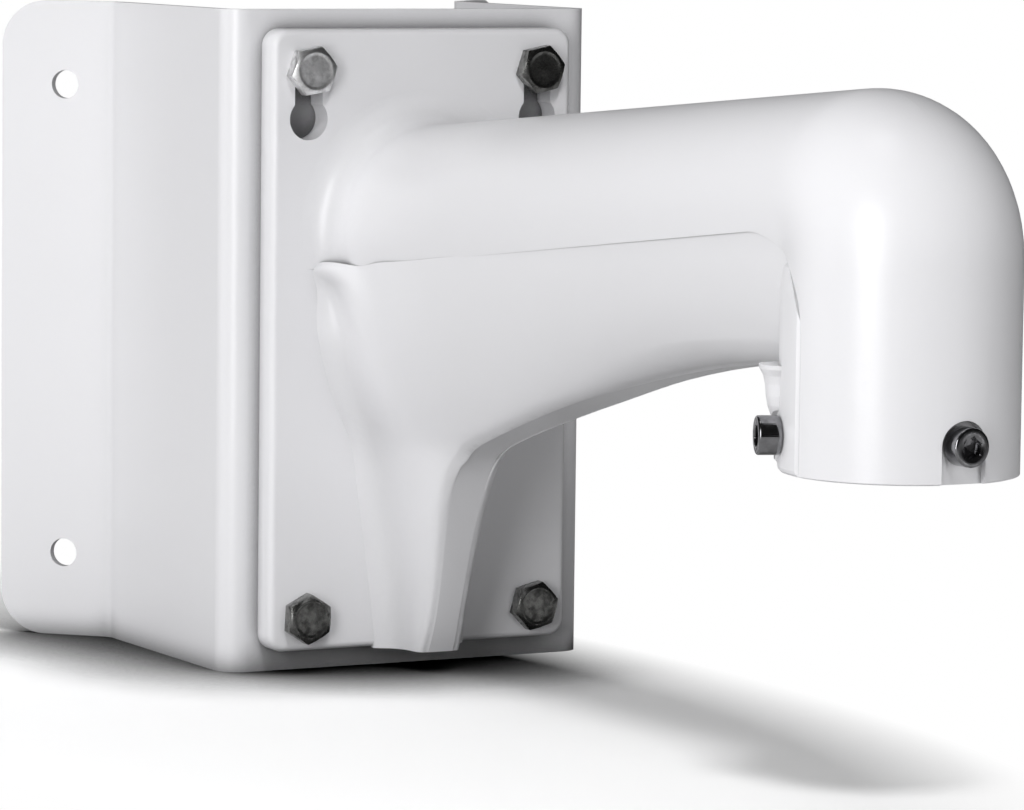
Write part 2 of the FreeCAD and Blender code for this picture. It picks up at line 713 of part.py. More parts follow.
def make_bolt(centre, turn):
    """A hexagon bolt, its head on the arm's plate and its shank through the adapter."""
    head = polygon_face(hexagon(BOLT_ACROSS_FLATS, turn)).extrude(V(BOLT_HEAD_HEIGHT, 0, 0))
    head = head.common(chamfer_cone(BOLT_ACROSS_FLATS, BOLT_HEAD_HEIGHT))
    radius = BOLT_DIAMETER / 2.0
    shank = polygon_face([
        V(1.0, 0.0, 0.0),
        V(1.0, radius, 0.0),
        V(-BOLT_LENGTH, radius, 0.0),
        V(-BOLT_LENGTH, 0.0, 0.0),
    ]).revolve(V(0, 0, 0), V(1, 0, 0), 360.0)
    bolt = head.fuse(shank)
    bolt.translate(centre + V(PLATE_THICKNESS, 0.0, 0.0))
    return bolt


def make_washer(centre):
    """A flat washer against the back of the adapter's front sheet."""
    disc = cylinder(WASHER_DIAMETER / 2.0, WASHER_THICKNESS, V(0, 0, 0), V(-1, 0, 0))
    disc = disc.cut(cylinder(WASHER_BORE / 2.0, WASHER_THICKNESS, V(0, 0, 0), V(-1, 0, 0)))
    disc.translate(centre - V(SHEET, 0.0, 0.0))
    return disc


def make_spring_washer(centre):
    """A split spring washer, pressed flat, its gap pointing up."""
    height = SPRING_WASHER_THICKNESS
    ring = cylinder(SPRING_WASHER_DIAMETER / 2.0, height, V(0, 0, 0), V(-1, 0, 0))
    ring = ring.cut(cylinder(SPRING_WASHER_BORE / 2.0, height, V(0, 0, 0), V(-1, 0, 0)))
    gap = Part.makeBox(height * 3.0, SPRING_WASHER_GAP, SPRING_WASHER_DIAMETER,
                       V(-height * 2.0, -SPRING_WASHER_GAP / 2.0, 0.0))
    gap.rotate(V(0, 0, 0), V(0, 0, 1), 20.0)
    ring = ring.cut(gap)
    ring.translate(centre - V(SHEET + WASHER_THICKNESS, 0.0, 0.0))
    return ring


def make_nut(centre, turn):
    """A hexagon nut that closes the stack behind the adapter."""
    nut = polygon_face(hexagon(BOLT_ACROSS_FLATS, turn)).extrude(V(-NUT_HEIGHT, 0, 0))
    nut = nut.common(chamfer_cone(BOLT_ACROSS_FLATS, -NUT_HEIGHT))
    nut = nut.cut(cylinder(NUT_BORE / 2.0, NUT_HEIGHT, V(0, 0, 0), V(-1, 0, 0)))
    stack = SHEET + WASHER_THICKNESS + SPRING_WASHER_THICKNESS
    nut.translate(centre - V(stack, 0.0, 0.0))
    return nut


def make_cap_screw(angle):
    """A socket cap screw on its seat, its shank short of the socket's bore."""
    radius = CAP_HEAD_DIAMETER / 2.0
    shank = CAP_SHANK_DIAMETER / 2.0
    body = polygon_face([
        V(-CAP_SHANK_LENGTH, 0.0, 0.0),
        V(-CAP_SHANK_LENGTH, shank - 0.5, 0.0),
        V(0.5 - CAP_SHANK_LENGTH, shank, 0.0),
        V(0.0, shank, 0.0),
        V(0.0, radius, 0.0),
        V(CAP_HEAD_HEIGHT - CAP_HEAD_CHAMFER, radius, 0.0),
        V(CAP_HEAD_HEIGHT, radius - CAP_HEAD_CHAMFER, 0.0),
        V(CAP_HEAD_HEIGHT, 0.0, 0.0),
    ]).revolve(V(0, 0, 0), V(1, 0, 0), 360.0)
    socket = polygon_face(hexagon(CAP_SOCKET_FLATS, 20.0))
    socket.translate(V(CAP_HEAD_HEIGHT - CAP_SOCKET_DEPTH, 0.0, 0.0))
    body = body.cut(socket.extrude(V(CAP_SOCKET_DEPTH + 1.0, 0.0, 0.0)))
    body.rotate(V(0, 0, 0), V(0, 0, 1), angle)
    body.translate(collar_point(seat_offset(angle), angle, SCREW_Z) + TO_FRAME)
    return body


def main():
    """Write one STEP file for each piece."""
    os.makedirs("parts", exist_ok=True)
    pieces = {"corner_adapter": make_adapter(), "bracket_arm": make_arm()}
    places = ("top_left", "top_right", "bottom_right", "bottom_left")
    for place, centre, turn in zip(places, bolt_centres(), BOLT_TURNS):
        pieces["hex_bolt_" + place] = make_bolt(centre, turn)
        pieces["flat_washer_" + place] = make_washer(centre)
        pieces["spring_washer_" + place] = make_spring_washer(centre)
        pieces["hex_nut_" + place] = make_nut(centre, turn)
    for name, angle in zip(("front", "right", "left"), SCREW_ANGLES):
        pieces["cap_screw_" + name] = make_cap_screw(angle)
    for name, shape in pieces.items():
        shape.exportStep("parts/" + name + ".step")
        print(name, shape.isValid(), len(shape.Solids), round(shape.Volume), shape.BoundBox)


main()
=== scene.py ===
import json
import math

import bpy
import numpy as np
from bpy.props import FloatProperty, FloatVectorProperty, IntProperty, PointerProperty
from mathutils import Matrix, Vector


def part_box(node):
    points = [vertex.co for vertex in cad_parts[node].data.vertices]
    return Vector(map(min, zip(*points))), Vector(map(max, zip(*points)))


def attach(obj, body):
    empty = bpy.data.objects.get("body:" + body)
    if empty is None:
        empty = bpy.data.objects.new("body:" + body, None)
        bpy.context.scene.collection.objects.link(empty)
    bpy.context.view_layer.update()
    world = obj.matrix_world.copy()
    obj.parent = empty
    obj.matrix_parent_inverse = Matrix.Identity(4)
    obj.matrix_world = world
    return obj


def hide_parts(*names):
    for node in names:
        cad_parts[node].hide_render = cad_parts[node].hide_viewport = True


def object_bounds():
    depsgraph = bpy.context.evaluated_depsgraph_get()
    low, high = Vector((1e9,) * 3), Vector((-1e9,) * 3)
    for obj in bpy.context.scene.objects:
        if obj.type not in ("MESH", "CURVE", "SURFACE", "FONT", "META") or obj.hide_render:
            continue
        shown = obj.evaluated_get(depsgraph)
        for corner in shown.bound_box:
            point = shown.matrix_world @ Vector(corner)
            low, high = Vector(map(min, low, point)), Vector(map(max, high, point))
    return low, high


bl_info = {
    "name": "Camera Wall Bracket",
    "version": (1, 0, 0),
    "blender": (4, 5, 0),
    "location": "View3D > Sidebar > Bracket",
    "description": "Finishes a cast camera wall bracket on its folded corner adapter",
    "category": "Add Mesh",
}

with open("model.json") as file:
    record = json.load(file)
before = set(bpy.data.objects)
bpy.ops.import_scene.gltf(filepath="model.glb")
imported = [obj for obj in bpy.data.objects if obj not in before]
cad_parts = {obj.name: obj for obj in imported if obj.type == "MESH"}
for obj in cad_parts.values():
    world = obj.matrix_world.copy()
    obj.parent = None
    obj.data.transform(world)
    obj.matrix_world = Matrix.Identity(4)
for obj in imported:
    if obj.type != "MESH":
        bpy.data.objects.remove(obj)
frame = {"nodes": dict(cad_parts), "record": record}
cad_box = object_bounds()
NODES = frame["nodes"]
MOUNTS = {mount["name"]: mount for mount in frame["record"]["mounts"]}
BOLT_PLACES = ("top_left", "top_right", "bottom_right", "bottom_left")
SCREW_PLACES = ("front", "right", "left")
LIGHT_AIM = Vector((0.12, 0.0, 0.03))
POOL_SCALE = (3.33, 8.33, 0.0)
POOL_SHIFT = (-0.333, 0.5, 0.0)
FLOOR_CELLS = 12
# Power on the floor's ambient occlusion for its painted contact shadow.
PAINTED_CONTACT_SHADOW_POWER = 3.8
COLUMNS_PER_KNURL = 6
BOLT_COLUMNS = 144
ROWS_PER_THREAD_TURN = 10


def colour_property(name, description, default):
    """A colour swatch whose values are linear red, green and blue."""
    return FloatVectorProperty(name=name, description=description, default=default,
                               size=3, subtype="COLOR", min=0.0, max=1.0)


def length_property(name, description, default):
    """A length in metres."""
    return FloatProperty(name=name, description=description, default=default,
                         subtype="DISTANCE", unit="LENGTH", min=0.0, precision=5)


class PaintSettings(bpy.types.PropertyGroup):
    """The powder coat of the arm and of the adapter."""

    arm_colour: colour_property("Arm colour", "Paint of the cast arm", (0.79, 0.788, 0.808))
    adapter_colour: colour_property("Adapter colour", "Paint of the folded adapter",
                                    (0.79, 0.788, 0.808))
    roughness: FloatProperty(name="Roughness", description="How matt the cured paint is",
                             default=0.30, min=0.0, max=1.0, subtype="FACTOR")
    grain_size: length_property("Grain size", "Width of one bump of the paint's skin", 0.0009)
    grain_depth: length_property("Grain depth", "Height of one bump of the paint's skin",
                                 0.000012)
    cast_size: length_property("Casting wave", "Width of the casting's slow waves", 0.012)
    # The next two settings drive painted shade: the paint's colour is darkened where other walls
    # stand close, standing in for shade in crevices.
    painted_shade_reach: length_property("Crevice reach", "How near other walls stand where the paint "
                                   "darkens", 0.010)
    deepest_painted_shade: FloatProperty(name="Crevice shade", description="Share of the paint's colour "
                                 "that is left deep in a crevice", default=0.12, min=0.0,
                                 max=1.0, subtype="FACTOR")


class BoltSettings(bpy.types.PropertyGroup):
    """The hexagon bolts with their washers and nuts."""

    flats: length_property("Across flats", "Width of the head across two flats", 0.013)
    head_height: length_property("Head height", "Height of the head over the plate", 0.0048)
    chamfer: FloatProperty(name="Chamfer", description="Slope of the head's chamfer",
                           default=math.radians(32.0), subtype="ANGLE", unit="ROTATION")
    face_share: FloatProperty(name="Face", description="Diameter of the head's flat face over "
                              "the width across flats", default=0.87, min=0.5, max=1.0,
                              subtype="FACTOR")
    dish: length_property("Dish", "Depth of the shallow dish in the head's face", 0.00022)
    edge_round: length_property("Edge round", "Radius that the head's edges are eased by",
                                0.00018)
    pitch: length_property("Thread pitch", "Rise of the thread in one turn", 0.00125)
    thread_depth: length_property("Thread depth", "Depth of the thread under its crest",
                                  0.00062)
    thread_length: length_property("Thread length", "Length of the cut thread", 0.016)
    steel: colour_property("Bolt steel", "Colour of the bolts and nuts", (0.30, 0.30, 0.29))
    # A lit copy of the bolt steel: the top-left bolt's much brighter colour is a painted
    # highlight.
    painted_highlight_steel: colour_property("Painted highlight steel", "Colour of the bright bolt, top left",
                               (0.95, 0.95, 0.95))
    washer_steel: colour_property("Washer steel", "Colour of the washers", (0.60, 0.60, 0.61))


class CapScrewSettings(bpy.types.PropertyGroup):
    """The socket cap screws round the collar."""

    head_diameter: length_property("Head diameter", "Diameter over the knurl", 0.010)
    head_height: length_property("Head height", "Height of the head over its seat", 0.006)
    edge_round: length_property("Edge round", "Radius of the head's outer edge", 0.0006)
    knurls: IntProperty(name="Knurls", description="Ridges round the head", default=60,
                        min=12, max=90)
    knurl_depth: length_property("Knurl depth", "Depth of the grooves between ridges", 0.000008)
    socket_flats: length_property("Socket", "Width of the socket across two flats", 0.005)
    socket_depth: length_property("Socket depth", "Depth of the socket's flats", 0.003)
    steel: colour_property("Screw steel", "Colour of the oiled steel", (0.30, 0.30, 0.31))


class StageSettings(bpy.types.PropertyGroup):
    """Floor, light and camera."""

    floor_size: length_property("Floor size", "Side of the floor", 60.0)
    floor_colour: colour_property("Floor colour", "Colour that the floor throws back on the "
                                  "part", (0.60, 0.60, 0.60))
    floor_coat: FloatProperty(name="Floor coat", description="How much brighter the camera sees "
                              "the floor than the part does", default=2.15, min=1.0)
    # Reach of the floor's painted contact shadow: the floor's colour is darkened near the part.
    painted_contact_reach: length_property("Contact reach", "How far the contact shadow goes out from "
                                   "the part", 0.06)
    sky: FloatProperty(name="Sky", description="Strength of the even light from all round",
                       default=0.02, min=0.0)
    soft_power: FloatProperty(name="Soft box", description="Power of the tall soft box",
                              default=5.5, subtype="POWER", unit="POWER")
    key_power: FloatProperty(name="Key", description="Power of the small light that casts the "
                             "shadow", default=4.6, subtype="POWER", unit="POWER")
    left_power: FloatProperty(name="Left", description="Power of the light on the left",
                              default=4.7, subtype="POWER", unit="POWER")
    right_power: FloatProperty(name="Right", description="Power of the strip light on the right",
                               default=0.55, subtype="POWER", unit="POWER")
    over_power: FloatProperty(name="Over", description="Power of the light over the arm",
                              default=0.55, subtype="POWER", unit="POWER")
    back_power: FloatProperty(name="Back", description="Power of the light behind the part",
                              default=3.2, subtype="POWER", unit="POWER")
    camera_place: FloatVectorProperty(name="Camera", description="Where the camera stands",
                                      default=(1.44618, -0.72325, 0.13733), size=3,
                                      subtype="TRANSLATION", unit="LENGTH", precision=5)
    camera_turn: FloatProperty(name="Turn", description="Angle of the view from the arm's "
                               "line", default=math.radians(28.107), subtype="ANGLE",
                               unit="ROTATION")
    camera_dip: FloatProperty(name="Dip", description="How far the camera looks down",
                              default=math.radians(5.635), subtype="ANGLE", unit="ROTATION")
    camera_roll: FloatProperty(name="Roll", description="Tilt of the camera's horizon",
                               default=math.radians(0.682), subtype="ANGLE",
                               unit="ROTATION")
    lens: FloatProperty(name="Lens", description="Focal length on a 36 mm wide sensor",
                        default=189.74, subtype="DISTANCE_CAMERA", unit="CAMERA")


class BracketSettings(bpy.types.PropertyGroup):
    """All that can be set on the bracket and its stage."""

    paint: PointerProperty(type=PaintSettings)
    bolts: PointerProperty(type=BoltSettings)
    screws: PointerProperty(type=CapScrewSettings)
    stage: PointerProperty(type=StageSettings)


def add_node(tree, kind, inputs=None, **values):
    """A new shader node with its options by name and its inputs by socket name or number."""
    made = tree.nodes.new(kind)
    for key, value in values.items():
        setattr(made, key, value)
    for key, value in (inputs or {}).items():
        if isinstance(value, bpy.types.NodeSocket):
            tree.links.new(value, made.inputs[key])
        else:
            made.inputs[key].default_value = value
    return made


def new_material(name):
    """A material with one principled shader. Returns the material, its tree and the shader."""
    material = bpy.data.materials.new(name)
    material.use_nodes = True
    tree = material.node_tree
    shader = tree.nodes["Principled BSDF"]
    return material, tree, shader


def tinted(colour, share):
    """A linear colour scaled by a share, opaque."""
    return tuple(min(1.0, part * share) for part in colour) + (1.0,)


def noise_at(tree, place, size, detail=2.0, roughness=0.5):
    """A noise whose bumps are about size metres wide. Returns its height socket."""
    made = add_node(tree, "ShaderNodeTexNoise", {"Vector": place, "Scale": 1.0 / size,
                                                 "Detail": detail, "Roughness": roughness})
    return made.outputs["Fac"]


def bump_over(tree, height, depth, below=None):
    """A bump of depth metres from a height of 0 to 1, laid over another bump."""
    inputs = {"Strength": 1.0, "Distance": depth, "Height": height}
    if below is not None:
        inputs["Normal"] = below
    return add_node(tree, "ShaderNodeBump", inputs).outputs["Normal"]


def toned(tree, height, low, high, from_low=0.3, from_high=0.7):
    """A colour that runs from low to high as a noise's height rises."""
    ramp = add_node(tree, "ShaderNodeValToRGB", {"Fac": height})
    ramp.color_ramp.elements[0].position = from_low
    ramp.color_ramp.elements[0].color = low
    ramp.color_ramp.elements[1].position = from_high
    ramp.color_ramp.elements[1].color = high
    return ramp.outputs["Color"]


def ranged(tree, value, low, high, from_low=0.3, from_high=0.7):
    """A number that runs from low to high as a value rises."""
    made = add_node(tree, "ShaderNodeMapRange",
                    {"Value": value, "From Min": from_low, "From Max": from_high,
                     "To Min": low, "To Max": high})
    return made.outputs["Result"]


def powder_coat(name, colour, paint, wave_depth, own_walls, shut_share):
    """Powder-coat paint: a fine pebbled skin over the metal's slow waves, with a tone and a gloss
    that drift a little from place to place, and painted shade where walls stand close: an ambient
    occlusion node darkens the colour, seeing any walls, or only the piece's own. The painted
    shade is full where the open share has sunk to shut_share."""
    material, tree, shader = new_material(name)
    place = add_node(tree, "ShaderNodeTexCoord").outputs["Object"]
    drift = noise_at(tree, place, 0.09, detail=1.0)
    shader.inputs["Base Color"].default_value = tinted(colour, 1.0)
    tone = toned(tree, drift, tinted(colour, 0.985), tinted(colour, 1.0), 0.1, 0.9)
    # Painted shade: an ambient occlusion node scales the paint's colour down where other walls
    # stand close, standing in for shade in crevices, keyholes and inner corners.
    open_share = add_node(tree, "ShaderNodeAmbientOcclusion",
                          {"Distance": paint.painted_shade_reach}, samples=6,
                          only_local=own_walls).outputs["AO"]
    painted_shade_share = ranged(tree, open_share, paint.deepest_painted_shade, 1.0, shut_share, 0.85)
    tone_under_painted_shade = add_node(tree, "ShaderNodeVectorMath", {0: tone, "Scale": painted_shade_share},
                    operation="SCALE").outputs["Vector"]
    tree.links.new(tone_under_painted_shade, shader.inputs["Base Color"])
    patch = noise_at(tree, place, 0.05, detail=1.0)
    tree.links.new(ranged(tree, patch, paint.roughness - 0.03, paint.roughness + 0.03, 0.1, 0.9),
                   shader.inputs["Roughness"])
    waves = bump_over(tree, noise_at(tree, place, paint.cast_size), wave_depth)
    pebbles = add_node(tree, "ShaderNodeTexVoronoi", {"Vector": place,
                                                      "Scale": 1.0 / paint.grain_size},
                       feature="SMOOTH_F1").outputs["Distance"]
    skin = bump_over(tree, pebbles, paint.grain_depth, waves)
    specks = bump_over(tree, noise_at(tree, place, paint.grain_size * 0.35),
                       paint.grain_depth * 0.4, skin)
    tree.links.new(specks, shader.inputs["Normal"])
    return material


def turned_steel(name, colour, roughness, grain_depth):
    """Plain steel on object coordinates: a soft mill grain, faint scratches drawn out along one
    way and small stains."""
    material, tree, shader = new_material(name)
    place = add_node(tree, "ShaderNodeTexCoord").outputs["Object"]
    drawn = add_node(tree, "ShaderNodeMapping", {"Vector": place,
                                                 "Scale": (1.0, 0.12, 1.0)}).outputs["Vector"]
    scratches = noise_at(tree, drawn, 0.0005, detail=5.0, roughness=0.65)
    stains = noise_at(tree, place, 0.004, detail=4.0)
    tree.links.new(toned(tree, stains, tinted(colour, 0.86), tinted(colour, 1.04)),
                   shader.inputs["Base Color"])
    tree.links.new(ranged(tree, scratches, roughness - 0.08, roughness + 0.10),
                   shader.inputs["Roughness"])
    grain = bump_over(tree, scratches, grain_depth)
    fine = bump_over(tree, noise_at(tree, place, 0.00025), grain_depth * 0.4, grain)
    tree.links.new(fine, shader.inputs["Normal"])
    shader.inputs["Metallic"].default_value = 1.0
    return material


def forged_steel(name, colour, roughness, lathe_depth, stain_share):
    """Steel of a fastener that was turned round its own axis: fine rings on its end faces, from
    the distance to that axis in the mesh's own 'local' attribute (along, across, across), over
    a forged grain, with darker stains in patches."""
    material, tree, shader = new_material(name)
    local = add_node(tree, "ShaderNodeAttribute", attribute_name="local").outputs["Vector"]
    parts = add_node(tree, "ShaderNodeSeparateXYZ", {"Vector": local})
    square_y = add_node(tree, "ShaderNodeMath", {0: parts.outputs["Y"], 1: 2.0},
                        operation="POWER").outputs[0]
    square_z = add_node(tree, "ShaderNodeMath", {0: parts.outputs["Z"], 1: 2.0},
                        operation="POWER").outputs[0]
    total = add_node(tree, "ShaderNodeMath", {0: square_y, 1: square_z},
                     operation="ADD").outputs[0]
    reach = add_node(tree, "ShaderNodeMath", {0: total, 1: 0.5}, operation="POWER").outputs[0]
    ring_place = add_node(tree, "ShaderNodeCombineXYZ",
                          {"X": parts.outputs["X"], "Y": reach}).outputs["Vector"]
    rings = noise_at(tree, ring_place, 0.00022, detail=3.0, roughness=0.7)
    stains = noise_at(tree, local, 0.0028, detail=5.0, roughness=0.6)
    tree.links.new(toned(tree, stains, tinted(colour, stain_share), tinted(colour, 1.05),
                         0.35, 0.62), shader.inputs["Base Color"])
    tree.links.new(ranged(tree, stains, roughness + 0.12, roughness - 0.03, 0.35, 0.65),
                   shader.inputs["Roughness"])
    forged = bump_over(tree, noise_at(tree, local, 0.0009, detail=3.0), lathe_depth * 1.5)
    tree.links.new(bump_over(tree, rings, lathe_depth, forged), shader.inputs["Normal"])
    shader.inputs["Metallic"].default_value = 1.0
    return material


def assign(name, material):
    """Gives a carried-over node one material."""
    slots = NODES[name].data.materials
    slots.clear()
    slots.append(material)


def ring_levels(angles, levels):
    """Rows of points about the X axis. Each level is (along, radius), both numbers or arrays
    over the angles: the point is (along, radius cos, radius sin)."""
    rows = []
    for along, radius in levels:
        full = np.broadcast_to(np.asarray(radius, float), angles.shape)
        rows.append(np.stack([np.broadcast_to(np.asarray(along, float), angles.shape),
                              full * np.cos(angles), full * np.sin(angles)], axis=1))
    return np.array(rows)


def closed_skin(name, rows, matrix, sharp_angle):
    """A closed mesh from rows of rings whose first and last ring shrink to a point: quads
    between the rings and a fan at each end. Its faces point outwards, its points are carried
    into place by the matrix and keep their own coordinates as the 'local' attribute."""
    count_rows, count = rows.shape[:2]
    flat = rows.reshape(-1, 3)
    low = rows[0].mean(axis=0)
    high = rows[-1].mean(axis=0)
    points = np.vstack([flat, low, high])
    i = np.arange(count_rows - 1)[:, None] * count
    j = np.arange(count)[None, :]
    k = (j + 1) % count
    quads = np.stack([i + j, i + k, i + count + k, i + count + j], axis=2).reshape(-1, 4)
    start = len(flat)
    last = (count_rows - 1) * count
    first_fan = np.stack([np.full(count, start), k[0], j[0]], axis=1)
    last_fan = np.stack([np.full(count, start + 1), last + j[0], last + k[0]], axis=1)
    mesh = bpy.data.meshes.new(name)
    turned = np.array(matrix)
    placed = points @ turned[:3, :3].T + turned[:3, 3]
    faces = quads.tolist() + first_fan.tolist() + last_fan.tolist()
    mesh.from_pydata(placed.tolist(), [], faces)
    local = mesh.attributes.new("local", "FLOAT_VECTOR", "POINT")
    local.data.foreach_set("vector", points.astype(np.float32).ravel())
    mesh.polygons.foreach_set("use_smooth", np.ones(len(faces), bool))
    mesh.set_sharp_from_angle(angle=sharp_angle)
    mesh.update()
    made = bpy.data.objects.new(name, mesh)
    bpy.context.scene.collection.objects.link(made)
    return made


def hexagon_radius(angles, flats, turn):
    """Distance from the centre to a hexagon's side at each angle: half the flats over the
    cosine of the angle to the nearest side's middle. Corners lie at turn plus 60 degree steps."""
    sixth = math.pi / 3.0
    off_middle = np.mod(angles - turn, sixth) - sixth / 2.0
    return flats / 2.0 / np.cos(off_middle)


def node_points(name):
    """The points of a carried-over node as an array."""
    data = NODES[name].data
    values = np.empty(len(data.vertices) * 3, np.float32)
    data.vertices.foreach_get("co", values)
    return values.reshape(-1, 3).astype(float)


def hexagon_turn(name, centre_y, centre_z, face_x):
    """The angle of the first corner of a node's hexagon, from its points furthest out near a
    level along X."""
    points = node_points(name)
    near = points[np.abs(points[:, 0] - face_x) < 0.0003]
    reach = np.hypot(near[:, 1] - centre_y, near[:, 2] - centre_z)
    corner = near[np.argmax(reach)]
    angle = math.atan2(corner[2] - centre_z, corner[1] - centre_y)
    return angle % (math.pi / 3.0)


def thread_levels(angles, start, length, crest, depth, pitch):
    """Rows of a cut thread: the radius falls from the crest by the depth in a rounded V whose
    phase is the share of the pitch that is travelled, less the share of the turn."""
    count = max(4, int(round(length / pitch * ROWS_PER_THREAD_TURN)))
    levels = []
    for along in np.linspace(start, start + length, count):
        phase = np.mod((along - start) / pitch - angles / (2.0 * math.pi), 1.0)
        valley = np.clip(1.25 - np.abs(phase - 0.5) * 3.0, 0.0, 1.0)
        levels.append((along, crest - depth * valley))
    return levels


def bolt_skin(name, node, settings):
    """A hexagon bolt: the head's side follows the hexagon, its upper edge falls with the
    chamfer's slope beyond the flat face, the face is dished inside its rim, and the shank ends
    in a cut thread."""
    low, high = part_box(node)
    centre_y = (low.y + high.y) / 2.0
    centre_z = (low.z + high.z) / 2.0
    height = settings.head_height
    seat_x = high.x - height
    tip = low.x - seat_x
    turn = hexagon_turn(node, centre_y, centre_z, seat_x)
    angles = np.linspace(0.0, 2.0 * math.pi, BOLT_COLUMNS + 1)[:-1] + turn
    side = hexagon_radius(angles, settings.flats, turn)
    ease = settings.edge_round
    flat_circle = settings.flats / 2.0 * settings.face_share
    fall = (side - flat_circle) * math.tan(settings.chamfer)
    shank = 0.004
    plain_end = tip + settings.thread_length
    lead = 0.0009
    levels = [(tip, shank - 0.0011), (tip + lead, shank - 0.00025)]
    levels += thread_levels(angles, tip + lead, settings.thread_length - lead,
                            shank - 0.00005, settings.thread_depth, settings.pitch)
    levels += [(plain_end + 0.0003, shank - 0.0003), (-0.0004, shank - 0.0003),
               (0.0, shank), (0.0, side - ease * 1.4), (ease * 0.4, side - ease * 0.4),
               (ease * 1.4, side), (height - fall - ease, side),
               (height - fall + ease * 0.3, side - ease * 0.5),
               (height - ease * 0.25, flat_circle + ease * 0.6),
               (height, flat_circle - ease * 0.8), (height, flat_circle - ease * 2.2),
               (height - settings.dish * 0.8, flat_circle - ease * 4.5),
               (height - settings.dish, flat_circle - ease * 7.0),
               (height - settings.dish * 0.6, 0.0015), (height - settings.dish * 0.5, 0.0004)]
    rows = ring_levels(angles, levels)
    return closed_skin(name, rows, Matrix.Translation((seat_x, centre_y, centre_z)),
                       math.radians(28.0))


def screw_axis(node):
    """Where a cap screw stands: a matrix that takes +X along the screw, out of the collar, and
    the distances of its tip and face from the collar's axis."""
    axis_x = MOUNTS["camera_socket"]["pos_m"][0]
    points = node_points(node)
    low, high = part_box(node)
    middle = (low + high) / 2.0
    angle = math.atan2(middle.y, middle.x - axis_x)
    out = Vector((math.cos(angle), math.sin(angle), 0.0))
    along = (points - np.array([axis_x, 0.0, middle.z])) @ np.array(out)
    side = Vector((-out.y, out.x, 0.0))
    matrix = Matrix((
        (out.x, side.x, 0.0, axis_x),
        (out.y, side.y, 0.0, 0.0),
        (0.0, 0.0, 1.0, middle.z),
        (0.0, 0.0, 0.0, 1.0),
    ))
    return matrix, float(along.min()), float(along.max())


def cap_screw_skin(name, node, settings):
    """A socket cap screw: a knurled cylinder whose radius dips with the sine of the angle times
    the number of knurls, a quarter-round edge, a hexagon socket that a cone leads into, and a
    short thread under the head."""
    matrix, tip, face = screw_axis(node)
    columns = settings.knurls * COLUMNS_PER_KNURL
    angles = np.linspace(0.0, 2.0 * math.pi, columns + 1)[:-1]
    radius = settings.head_diameter / 2.0
    seat = face - settings.head_height
    ease = settings.edge_round
    wave = 0.5 - 0.5 * np.cos(angles * settings.knurls)
    groove = settings.knurl_depth * np.clip(1.6 * wave - 0.3, 0.0, 1.0)
    socket = hexagon_radius(angles, settings.socket_flats, math.radians(20.0))
    mouth = settings.socket_flats / math.sqrt(3.0) + 0.0001
    shank = 0.003
    levels = [(tip, shank - 0.0008)]
    levels += thread_levels(angles, tip + 0.0004, seat - tip - 0.0008, shank - 0.00005,
                            depth=0.0004, pitch=0.001)
    levels += [(seat, shank), (seat, radius - 0.0004), (seat + 0.0003, radius - 0.0001)]
    knurl_end = face - ease - 0.0006
    for along in np.linspace(seat + 0.0005, knurl_end, 5):
        levels.append((along, radius - groove))
    levels.append((knurl_end + 0.0003, radius - groove * 0.3))
    for turn in np.linspace(0.0, math.pi / 2.0, 7):
        levels.append((face - ease * (1.0 - math.sin(turn)),
                       radius - ease * (1.0 - math.cos(turn))))
    levels += [(face, mouth + 0.0009), (face, mouth + 0.0002), (face - 0.00008, mouth),
               (face - 0.0003, socket), (face - 0.0006, socket),
               (face - settings.socket_depth, socket),
               (face - settings.socket_depth, socket * 0.9),
               (face - settings.socket_depth - 0.0008, 0.0004)]
    return closed_skin(name, ring_levels(angles, levels), matrix, math.radians(35.0))


class BRACKET_OT_adapter(bpy.types.Operator):
    """Paint the folded corner adapter"""

    bl_idname = "bracket.adapter"
    bl_label = "Paint adapter"

    def execute(self, context):
        paint = context.scene.bracket.paint
        coat = powder_coat("adapter_powder_coat", paint.adapter_colour, paint,
                           wave_depth=0.00002, own_walls=False, shut_share=0.4)
        assign("corner_adapter", coat)
        return {"FINISHED"}


class BRACKET_OT_arm(bpy.types.Operator):
    """Paint the cast arm"""

    bl_idname = "bracket.arm"
    bl_label = "Paint arm"

    def execute(self, context):
        paint = context.scene.bracket.paint
        coat = powder_coat("arm_powder_coat", paint.arm_colour, paint,
                           wave_depth=0.00005, own_walls=True, shut_share=0.1)
        assign("bracket_arm", coat)
        return {"FINISHED"}


class BRACKET_OT_bolts(bpy.types.Operator):
    """Make the four hexagon bolts with their threads, and finish washers and nuts"""

    bl_idname = "bracket.bolts"
    bl_label = "Bolts and nuts"

    def execute(self, context):
        settings = context.scene.bracket.bolts
        bolt_steel = forged_steel("bolt_steel", settings.steel, roughness=0.22,
                                  lathe_depth=0.000014, stain_share=0.35)
        # Painted highlight: the top-left bolt gets a far brighter copy of the bolt steel instead
        # of a lamp's reflection.
        painted_highlight_steel = forged_steel("painted_highlight_bolt_steel", settings.painted_highlight_steel, roughness=0.42,
                                 lathe_depth=0.000014, stain_share=0.6)
        washer_steel = turned_steel("washer_steel", settings.washer_steel, roughness=0.34,
                                    grain_depth=0.000006)
        nut_steel = turned_steel("nut_steel", settings.steel, roughness=0.30,
                                 grain_depth=0.000008)
        for place in BOLT_PLACES:
            node = "hex_bolt_" + place
            bolt = bolt_skin("threaded_bolt_" + place, node, settings)
            # The top-left bolt takes the painted highlight steel.
            bolt.data.materials.append(painted_highlight_steel if place == "top_left" else bolt_steel)
            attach(bolt, "root")
            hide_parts(node)
            assign("hex_nut_" + place, nut_steel)
            assign("flat_washer_" + place, washer_steel)
            assign("spring_washer_" + place, washer_steel)
        return {"FINISHED"}


